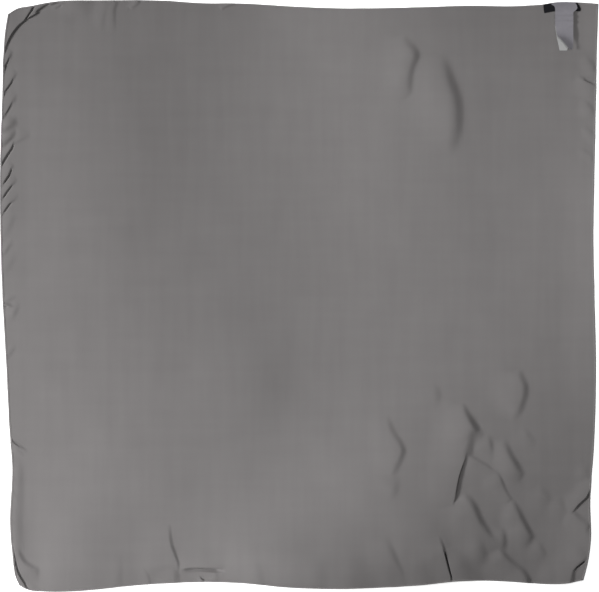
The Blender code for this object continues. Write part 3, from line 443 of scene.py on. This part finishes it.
# The labels' ribbons, with the distance between their ribs
Ribbon = namedtuple("Ribbon", "slot colour roughness gloss pitch")
WOVEN_BLACK = Ribbon("woven_black", (0.010, 0.010, 0.012, 1.0), 0.85, 0.10, 0.0008)
CARE_PALE = Ribbon("care_pale", (0.345, 0.345, 0.345, 1.0), 0.80, 0.12, 0.0006)
CARE_SATIN = Ribbon("care_satin", (0.190, 0.184, 0.202, 1.0), 0.80, 0.12, 0.0006)

# The surface, the lights and the camera
SURFACE_REACH = 3.0
SURFACE_LEVEL = -0.0003
PAPER_WHITE = (0.90, 0.90, 0.90, 1.0)
PAPER_GLOW = 0.70       # keeps the surface as white as the photograph's ground
WHITE = (1.0, 1.0, 1.0, 1.0)
AMBIENT = 0.268
CAMERA_HEIGHT = 3.2

# Soft lamps: where each hangs, the point of the surface that it is aimed at, the spread of its
# light in degrees, its size and its power in watts
Light = namedtuple("Light", "name x y z aim_x aim_y spread size power")
LIGHTS = [
    Light("key", -2.51, 0.22, 1.26, -0.30, -0.06, 94.4, 0.60, 29.5),
    Light("right", 0.54, 0.27, 1.25, 0.46, 0.14, 75.8, 0.20, 1.26),
    Light("lower_left", -0.08, -1.01, 0.80, -0.37, -0.29, 38.2, 0.12, 0.322),
    Light("lower_middle", -0.32, -0.73, 0.31, 0.06, -0.25, 36.4, 0.12, 0.138),
    Light("upper_middle", -0.02, 1.22, 0.47, 0.06, 0.30, 24.5, 0.12, 0.108),
]


# Smooth curves

def ease(t):
    """Climbs smoothly from 0 to 1 with t."""
    return t * t * (3 - 2 * t)


def between(start, end, start_slope, end_slope, span, t):
    """A smooth curve's value at the share t of the span from one of its points to the next."""
    rise = ease(t)
    return (start * (1 - rise) + end * rise
            + span * start_slope * t * (1 - t) ** 2
            - span * end_slope * t * t * (1 - t))


def smooth_value(rows, at):
    """A smooth curve through (along, across) rows, read at each value in `at`."""
    along, across = np.array(sorted(rows)).T
    slope = np.gradient(across, along)
    left = np.clip(np.searchsorted(along, at) - 1, 0, len(rows) - 2)
    span = along[left + 1] - along[left]
    t = (at - along[left]) / span
    return between(across[left], across[left + 1], slope[left], slope[left + 1], span, t)


def smooth_path(points):
    """A path as many short stretches of one smooth curve through its points."""
    points = np.array([(*point, 1.0)[:3] for point in points])
    gaps = np.linalg.norm(np.diff(points[:, :2], axis=0), axis=1)
    slope = np.gradient(points, np.concatenate(([0.0], np.cumsum(gaps))), axis=0)
    route = [points[0]]
    for start, span in enumerate(gaps):
        end = start + 1
        for step in range(1, PATH_STEPS + 1):
            route.append(between(points[start], points[end], slope[start], slope[end],
                                 span, step / PATH_STEPS))
    return np.array(route)


def bell(reach):
    """A smooth hump: 1 at 0, level there, and down to 0 at 1 and beyond."""
    return 0.5 + 0.5 * np.cos(np.pi * np.clip(np.abs(reach), 0.0, 1.0))


def fade(share, part):
    """0 at both ends of a path and 1 between, reached over a part of it."""
    return bell(np.maximum(1 - np.minimum(share, 1 - share) / part, 0.0))


def wander(count, scale, seed):
    """Smooth uneven values between about -1 and 1 along a hem, that change over `scale`."""
    random = np.random.default_rng(seed)
    knots = random.uniform(-1.0, 1.0, int(count * HEM_STEP / scale) + 4)
    at = np.arange(count) * HEM_STEP / scale
    left = at.astype(int)
    rise = ease(at - left)
    return knots[left] * (1 - rise) + knots[left + 1] * rise


# Form of the cloth

def side_point(start, end, waves, share, upright):
    """The point at a share of the way along one finished side."""
    if upright:
        along = start.y + (end.y - start.y) * share
        rows = [(start.y, start.x), *waves, (end.y, end.x)]
        return smooth_value(rows, along), along
    along = start.x + (end.x - start.x) * share
    rows = [(start.x, start.y), *waves, (end.x, end.y)]
    return along, smooth_value(rows, along)


def cloth_point(across, down):
    """Where a point of the square lies, from its shares of the way across and down."""
    top = side_point(TOP_LEFT, TOP_RIGHT, TOP_WAVES, across, False)
    bottom = side_point(BOTTOM_LEFT, BOTTOM_RIGHT, BOTTOM_WAVES, across, False)
    left = side_point(TOP_LEFT, BOTTOM_LEFT, LEFT_WAVES, down, True)
    right = side_point(TOP_RIGHT, BOTTOM_RIGHT, RIGHT_WAVES, down, True)
    place = []
    for axis in (0, 1):
        corners = ((1 - down) * ((1 - across) * TOP_LEFT[axis] + across * TOP_RIGHT[axis])
                   + down * ((1 - across) * BOTTOM_LEFT[axis] + across * BOTTOM_RIGHT[axis]))
        place.append((1 - down) * top[axis] + down * bottom[axis]
                     + (1 - across) * left[axis] + across * right[axis] - corners)
    return place[0], place[1]


# Where points lie beside a path: their distance from it (more than 0 on its left), the share of
# the way along, the share of its full height or cut there and the direction towards its left
Place = namedtuple("Place", "distance share rise out_x out_y")


def from_route(route, x, y):
    """Where each point lies beside a route."""
    steps = np.diff(route[:, :2], axis=0)
    lengths = np.linalg.norm(steps, axis=1)
    ways = steps / lengths[:, None]
    travelled = np.concatenate(([0.0], np.cumsum(lengths)))
    over_x = x[:, None] - route[:-1, 0]
    over_y = y[:, None] - route[:-1, 1]
    along = np.clip(over_x * ways[:, 0] + over_y * ways[:, 1], 0.0, lengths)
    away = np.hypot(over_x - ways[:, 0] * along, over_y - ways[:, 1] * along) + TINY
    nearest = away.argmin(axis=1)
    pick = (np.arange(len(x)), nearest)
    side = np.sign(ways[nearest, 0] * over_y[pick] - ways[nearest, 1] * over_x[pick])
    weight = (away[pick][:, None] / away) ** PATH_PULL
    weight /= weight.sum(axis=1, keepdims=True)
    share = (weight * (travelled[:-1] + along)).sum(axis=1) / travelled[-1]
    heading = weight @ ways
    heading /= np.linalg.norm(heading, axis=1)[:, None]
    rise = np.interp(share * travelled[-1], travelled, route[:, 2])
    return Place(away[pick] * side, share, rise, -heading[:, 1], heading[:, 0])


def near_path(path, margin, x, y):
    """Which points lie in the box round a path, widened by a margin, and their places on it."""
    route = smooth_path(path)
    low = route[:, :2].min(axis=0) - margin
    high = route[:, :2].max(axis=0) + margin
    near = (x > low[0]) & (x < high[0]) & (y > low[1]) & (y < high[1])
    return near, from_route(route, x[near], y[near])


def billow_height(x, y):
    """The low billows, flat where they are too low to lift the cloth."""
    total = np.zeros(x.shape)
    for billow in BILLOWS:
        total += billow.height * np.exp(-((x - billow.x) / billow.reach_x) ** 2
                                        - ((y - billow.y) / billow.reach_y) ** 2)
    lifted = np.maximum(total - RESTING_LEVEL, 0.0)
    return lifted ** 2 / (lifted + SETTLING)


def cloth_form(x, y):
    """Where the cloth's underside really is, for points given as they would lie with no folds:
    its x and y, moved by the folds' leans, and its height over the surface."""
    crossing = np.zeros(x.shape)
    moved_x, moved_y = x.copy(), y.copy()
    for fold in FOLDS:
        near, place = near_path(fold.path, fold.gentle + fold.steep, x, y)
        from_crest = place.distance + fold.steep / 2
        gentle = fold.gentle * (NARROWEST + (1 - NARROWEST) * place.rise)
        flank = np.where(from_crest > 0, from_crest / fold.steep, from_crest / gentle)
        hump = place.rise * bell(flank) * fade(place.share, END_FADE)
        crossing[near] += (fold.height * hump) ** FOLD_BLEND
        moved_x[near] += fold.lean * hump * place.out_x
        moved_y[near] += fold.lean * hump * place.out_y
    height = billow_height(x, y) + crossing ** (1 / FOLD_BLEND)
    for tuck in TUCKS:
        near, place = near_path(tuck.path, tuck.reach, x, y)
        depth = tuck.cut * place.rise * fade(place.share, TUCK_FADE)
        groove = np.minimum(TUCK_BREADTH * bell(place.distance / tuck.reach), 1.0)
        height[near] *= 1 - depth * groove
    return moved_x, moved_y, height


# Meshes

def add_object(name, data):
    """A new object in the scene."""
    thing = bpy.data.objects.new(name, data)
    bpy.context.scene.collection.objects.link(thing)
    return thing


def add_mesh(name, points, faces, finish):
    """One smooth-shaded piece that rides with the scarf."""
    mesh = bpy.data.meshes.new(name)
    mesh.from_pydata([tuple(map(float, point)) for point in points], [], faces)
    mesh.validate()
    mesh.polygons.foreach_set("use_smooth", [True] * len(mesh.polygons))
    mesh.materials.append(finish)
    thing = add_object(name, mesh)
    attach(thing, "root")
    return thing


def add_sheet(name, points, faces, thickness, finish):
    """A thin piece made with its upper surface, its shading kept flat up to its rim."""
    thing = add_mesh(name, points, faces, finish)
    mesh = thing.data
    uses = np.zeros(len(mesh.edges), int)
    loops = np.zeros(len(mesh.loops), int)
    mesh.loops.foreach_get("edge_index", loops)
    np.add.at(uses, loops, 1)
    mesh.edges.foreach_set("use_edge_sharp", uses == 1)
    shell = thing.modifiers.new("thickness", "SOLIDIFY")
    shell.thickness = thickness
    shell.offset = -1.0
    shell.use_even_offset = False
    return thing


def tube_faces(first, rings, sides):
    """The faces of a closed tube, whose points follow one another ring by ring from `first`."""
    faces = []
    last = first + (rings - 1) * sides
    for start in range(first, last, sides):
        for side in range(sides):
            a = start + side
            b = start + (side + 1) % sides
            faces.append((a, b, b + sides, a + sides))
    faces.append(tuple(range(first, first + sides))[::-1])
    faces.append(tuple(range(last, last + sides)))
    return faces


# Panel

def cell_size(width):
    """The size in metres of a cell that is `width` lattice steps wide."""
    return width * SIDE_LENGTH / LATTICE


def wanted_cell(x, y):
    """How wide a cell may be at each point: small on the folds' steep flanks and in tucks."""
    widest = cell_size(WIDEST_CELL)
    wanted = np.full(x.shape, widest)
    creases = ([(fold.path, fold.steep, FOLD_SHARE, FOLD_GROWTH) for fold in FOLDS]
               + [(tuck.path, tuck.reach, TUCK_SHARE, TUCK_GROWTH) for tuck in TUCKS])
    for path, breadth, share, growth in creases:
        near, place = near_path(path, widest / FOLD_GROWTH, x, y)
        beyond = np.maximum(np.abs(place.distance) - breadth, 0.0)
        wanted[near] = np.minimum(wanted[near], share * breadth + growth * beyond)
    return wanted


def panel_share(step):
    """Share of the way across the scarf at a step of the panel's lattice."""
    margin = PANEL_INSET / SIDE_LENGTH
    return margin + (1 - 2 * margin) * step / LATTICE


def panel_cells():
    """The panel's square cells, as (column, row, width) in lattice steps."""
    width = WIDEST_CELL
    waiting = [(column, row) for column in range(0, LATTICE, width)
               for row in range(0, LATTICE, width)]
    finished = []
    while waiting:
        middles = np.array(waiting) + width / 2
        x, y = cloth_point(panel_share(middles[:, 0]), panel_share(middles[:, 1]))
        split = (wanted_cell(x, y) < cell_size(width)) & (width > 1)
        finished += [(*cell, width) for cell, cut in zip(waiting, split) if not cut]
        half = width // 2
        waiting = [(column + i, row + j) for (column, row), cut in zip(waiting, split) if cut
                   for i in (0, half) for j in (0, half)]
        width = half
    return finished


def cell_ring(cell, corners):
    """The lattice points round one cell that are corners of it or of a smaller neighbour."""
    column, row, width = cell
    right, low = column + width, row + width
    ring = ([(column, step) for step in range(row, low)]
            + [(step, low) for step in range(column, right)]
            + [(right, step) for step in range(low, row, -1)]
            + [(step, row) for step in range(right, column, -1)])
    return [point for point in ring if point in corners]


def build_panel(finish):
    """The panel: a thin shell of silk, on small cells where it folds."""
    cells = panel_cells()
    corners = {(column + i, row + j) for column, row, width in cells
               for i in (0, width) for j in (0, width)}
    places = sorted(corners)
    number = {point: index for index, point in enumerate(places)}
    faces = []
    for cell in cells:
        ring = [number[point] for point in cell_ring(cell, corners)]
        if len(ring) == 4:
            faces.append(tuple(ring))
            continue
        column, row, width = cell
        middle = len(places)
        places.append((column + width / 2, row + width / 2))
        faces += [(middle, a, b) for a, b in zip(ring, ring[1:] + ring[:1])]
    shares = panel_share(np.array(places, float))
    x, y = cloth_point(shares[:, 0], shares[:, 1])
    moved_x, moved_y, under = cloth_form(x, y)
    inside = np.minimum(shares, 1 - shares).min(axis=1) * SIDE_LENGTH
    free = 1 - bell(inside / LEAN_MARGIN)
    points = np.column_stack((x + (moved_x - x) * free, y + (moved_y - y) * free,
                              under + SILK_THICKNESS))
    return add_sheet("silk_panel", points, faces, SILK_THICKNESS, finish)


# Hems and their stitches

def build_hem(name, locate, seed, finish):
    """One rolled hem: a closed tube that is a little uneven in width and height."""
    roll = HEM_WIDTH / SIDE_LENGTH
    count = int(SIDE_LENGTH / HEM_STEP)
    angles = np.linspace(0.0, 2 * math.pi, HEM_SIDES, endpoint=False)
    wide = 1 + UNEVEN_WIDTH * wander(count, WIDTH_SCALE, seed)
    high = 1 + UNEVEN_HEIGHT * wander(count, HEIGHT_SCALE, seed + HEIGHT_SEED)
    inwards = roll * (0.5 + 0.5 * wide[:, None] * np.cos(angles))
    share = np.linspace(0.0, 1.0, count)[:, None]
    along = inwards + (1 - 2 * inwards) * share
    x, y = cloth_point(*locate(inwards, along))
    middle_x, middle_y = cloth_point(*locate(np.full(count, roll / 2), along.mean(axis=1)))
    under = cloth_form(middle_x, middle_y)[2]
    tall = 0.5 * HEM_HEIGHT * high[:, None] * (1 + np.sin(angles))
    points = np.stack((x, y, under[:, None] + tall), axis=-1).reshape(-1, 3)
    return add_mesh(name, points, tube_faces(0, count, HEM_SIDES), finish)


def build_stitches(name, locate, seed, finish):
    """The slanting stitches that hold one hem: short arched threads from the roll to the panel."""
    random = np.random.default_rng(seed + STITCH_SEED)
    count = int(SIDE_LENGTH / STITCH_STEP) - 2
    stray = random.uniform(-STITCH_STRAY, STITCH_STRAY, count) * STITCH_STEP
    begin = (np.arange(count) + FIRST_STITCH) * STITCH_STEP + stray
    across = np.linspace(0.0, 1.0, STITCH_POINTS)
    along = begin[:, None] + STITCH_SLANT * across
    length = random.uniform(*STITCH_LENGTHS, count)[:, None] * STITCH_LENGTH
    inwards = HEM_WIDTH * STITCH_START + length * across
    x, y = cloth_point(*locate(inwards / SIDE_LENGTH, along / SIDE_LENGTH))
    roll_top = HEM_HEIGHT * np.sqrt(np.clip(1 - ((inwards / HEM_WIDTH - 0.5) * 2) ** 2, 0, 1))
    base = np.maximum(0.5 * HEM_HEIGHT + 0.5 * roll_top, SILK_THICKNESS)
    base = np.where(inwards < HEM_WIDTH, base, SILK_THICKNESS)
    base[:, -1] -= THREAD_WIDTH
    under = cloth_form(x, y)[2]
    line = np.stack((x, y, under + base + THREAD_RISE * THREAD_WIDTH), axis=-1)
    up = np.array([0.0, 0.0, 1.0])
    points, faces = [], []
    for stitch in line:
        faces += tube_faces(len(points), STITCH_POINTS, STITCH_SIDES)
        way = stitch[-1] - stitch[0]
        aside = np.array([-way[1], way[0], 0.0])
        aside /= np.linalg.norm(aside)
        for centre in stitch:
            for side in range(STITCH_SIDES):
                turn = 2 * math.pi * side / STITCH_SIDES
                outwards = math.cos(turn) * aside + math.sin(turn) * up
                points.append(centre + 0.5 * THREAD_WIDTH * outwards)
    return add_mesh(name, points, faces, finish)


# Materials

class Nodes:
    """Short ways to add and join the nodes of one material."""

    def __init__(self, name, colour, **sockets):
        self.finish = bpy.data.materials.new(name)
        self.finish.use_nodes = True
        self.tree = self.finish.node_tree
        self.shader = self.tree.nodes["Principled BSDF"]
        self.shader.inputs["Base Color"].default_value = colour
        self.feed(self.shader, sockets)
        self.place = self.add("TexCoord").outputs["Object"]

    def join(self, value, socket):
        """Gives a socket what another node makes, or a constant."""
        if isinstance(value, bpy.types.NodeSocket):
            self.tree.links.new(value, socket)
        else:
            socket.default_value = value

    def feed(self, node, sockets):
        """Gives each named socket of a node its value; a _ stands for each space in a name."""
        for name, value in sockets.items():
            self.join(value, node.inputs[name.replace("_", " ")])

    def add(self, kind, **sockets):
        """A new node, with values for some of its sockets."""
        node = self.tree.nodes.new("ShaderNode" + kind)
        self.feed(node, sockets)
        return node

    def noise(self, scale, detail):
        """Noise stretched by a different scale along each axis."""
        mapping = self.add("Mapping", Vector=self.place, Scale=scale)
        noise = self.add("TexNoise", Vector=mapping.outputs["Vector"], Scale=1.0, Detail=detail)
        return noise.outputs["Fac"]

    def threads(self, axis, pitch):
        """Ridges of one set of threads, across an axis."""
        scale = 2 * math.pi / (WAVE_TURN * pitch)
        wave = self.add("TexWave", Vector=self.place, Scale=scale, Distortion=0.0)
        wave.bands_direction = axis
        return wave.outputs["Fac"]

    def math(self, operation, a, b):
        """A sum, difference or product."""
        node = self.add("Math")
        node.operation = operation
        self.join(a, node.inputs[0])
        self.join(b, node.inputs[1])
        return node.outputs["Value"]

    def mottle(self, colour, parts):
        """Makes the base colour lighter and darker by each (noise around 0.5, strength)."""
        total = 1.0
        for noise, strength in parts:
            total = self.math("ADD", self.math("MULTIPLY", noise, strength), total)
            total = self.math("SUBTRACT", total, strength / 2)
        shaded = self.add("HueSaturation", Color=colour, Value=total)
        self.join(shaded.outputs["Color"], self.shader.inputs["Base Color"])

    def bump(self, height, strength, distance):
        """Raises the shading by a height between 0 and 1."""
        bump = self.add("Bump", Strength=strength, Distance=distance, Height=height)
        self.join(bump.outputs["Normal"], self.shader.inputs["Normal"])


def silk_finish():
    """Light plain silk: uneven threads both ways, seen as faint streaks, and a fine weave."""
    silk = Nodes("silk", SILK_GREY, **SILK_SHEEN)
    warp = silk.noise(WARP_SCALE, 3.0)
    weft = silk.noise(WEFT_SCALE, 3.0)
    cloud = silk.noise(CLOUD_SCALE, 3.0)
    silk.mottle(SILK_GREY, [(warp, 0.13), (weft, 0.08), (cloud, 0.13)])
    weave = silk.math("ADD", silk.threads("X", SILK_PITCH), silk.threads("Y", SILK_PITCH))
    silk.bump(weave, strength=0.25, distance=0.00004)
    return silk.finish


def hem_finish():
    """The same silk, rolled, in a lighter grey that is a painted highlight on the roll: fine creases run
    round the roll.
    """
    hem = Nodes("hem_silk", HEM_GREY_PAINTED_LIT, **SILK_SHEEN)
    creases = hem.noise(HEM_SCALE, 3.0)
    hem.mottle(HEM_GREY_PAINTED_LIT, [(creases, 0.16)])
    hem.bump(creases, strength=0.5, distance=0.0003)
    return hem.finish


def ribbon_finish(look):
    """Narrow woven ribbon: fine ribs across it and a faint unevenness."""
    ribbon = Nodes(look.slot, look.colour, Roughness=look.roughness,
                   Specular_IOR_Level=look.gloss)
    cloud = ribbon.noise(RIBBON_SCALE, 2.0)
    ribbon.mottle(look.colour, [(cloud, 0.14)])
    ribbon.bump(ribbon.threads("Y", look.pitch), strength=0.3, distance=0.00006)
    return ribbon.finish


# Labels

def build_ribbon(name, rows, look):
    """A label leaf: a thin ribbon through its rows, over the cloth and what lies under it."""
    first, last = rows[0].down, rows[-1].down
    downs = np.linspace(first, last, int((last - first) / LABEL_ROW_STEP) + 2)
    left, right, lift_left, lift_right = (
        smooth_value([(row.down, row[column]) for row in rows], downs)[:, None]
        for column in (1, 2, 3, 4))
    columns = np.linspace(0.0, 1.0, LABEL_COLUMNS + 1)
    x = left + (right - left) * columns
    share = (x - TOP_LEFT.x) / (TOP_RIGHT.x - TOP_LEFT.x)
    y = side_point(TOP_LEFT, TOP_RIGHT, TOP_WAVES, share, False)[1] - downs[:, None]
    lift = lift_right + (lift_left - lift_right) * (1 - columns) ** LABEL_CURL
    under = cloth_form(x, y)[2]
    points = np.stack((x, y, under + lift + RIBBON_THICKNESS), axis=-1).reshape(-1, 3)
    wide = LABEL_COLUMNS + 1
    faces = [(a, a + wide, a + wide + 1, a + 1)
             for row in range(len(downs) - 1) for a in range(row * wide, (row + 1) * wide - 1)]
    return add_sheet(name, points, faces, RIBBON_THICKNESS, ribbon_finish(look))


# Surface, lights and camera

def build_stage():
    """The pale surface that the scarf lies on."""
    mesh = bpy.data.meshes.new("surface")
    reach, level = SURFACE_REACH, SURFACE_LEVEL
    mesh.from_pydata([(-reach, -reach, level), (reach, -reach, level),
                      (reach, reach, level), (-reach, reach, level)], [], [(0, 1, 2, 3)])
    paper = Nodes("pale_paper", PAPER_WHITE, Roughness=0.9, Emission_Color=WHITE,
                  Emission_Strength=PAPER_GLOW)
    mesh.materials.append(paper.finish)
    floor = add_object("surface", mesh)


def build_lights():
    """Five soft lamps, the first and strongest from the left, in an even white room."""
    for row in LIGHTS:
        light = bpy.data.lights.new(row.name, "AREA")
        light.shape = "DISK"
        light.size = row.size
        light.energy = row.power
        light.spread = math.radians(row.spread)
        thing = add_object(row.name, light)
        thing.location = (row.x, row.y, row.z)
        aim = Vector((row.aim_x - row.x, row.aim_y - row.y, -row.z))
        thing.rotation_mode = "QUATERNION"
        thing.rotation_quaternion = aim.to_track_quat("-Z", "Y")
        thing.visible_camera = False
    world = bpy.data.worlds.new("world")
    world.use_nodes = True
    background = world.node_tree.nodes["Background"]
    background.inputs["Color"].default_value = WHITE
    background.inputs["Strength"].default_value = AMBIENT
    bpy.context.scene.world = world
    bpy.context.scene.view_settings.view_transform = "Standard"


def build_camera():
    """The camera straight above, as wide as the photograph at the surface."""
    camera = bpy.data.cameras.new("camera")
    camera.lens = camera.sensor_width * CAMERA_HEIGHT / (PHOTO_WIDTH * PIXEL)
    thing = add_object("camera", camera)
    thing.location = (0.0, 0.0, CAMERA_HEIGHT)
    bpy.context.scene.camera = thing


silk = silk_finish()
hem_silk = hem_finish()
panel = build_panel(silk)
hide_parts("panel")
on_panel = []
for side, locate, seed in SIDES:
    hem = build_hem("rolled_hem_" + side, locate, seed, hem_silk)
    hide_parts("hem_" + side)
    stitches = build_stitches("stitches_" + side, locate, seed, hem_silk)
    on_panel += [hem, stitches]
woven = build_ribbon("black_woven_label", WOVEN_LABEL, WOVEN_BLACK)
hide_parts("woven_label")
lower = build_ribbon("care_label_back_leaf", CARE_LABEL_LOWER, CARE_PALE)
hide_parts("care_label_lower")
upper = build_ribbon("care_label_front_leaf", CARE_LABEL_UPPER, CARE_SATIN)
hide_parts("care_label_upper")
build_stage()
build_lights()
build_camera()
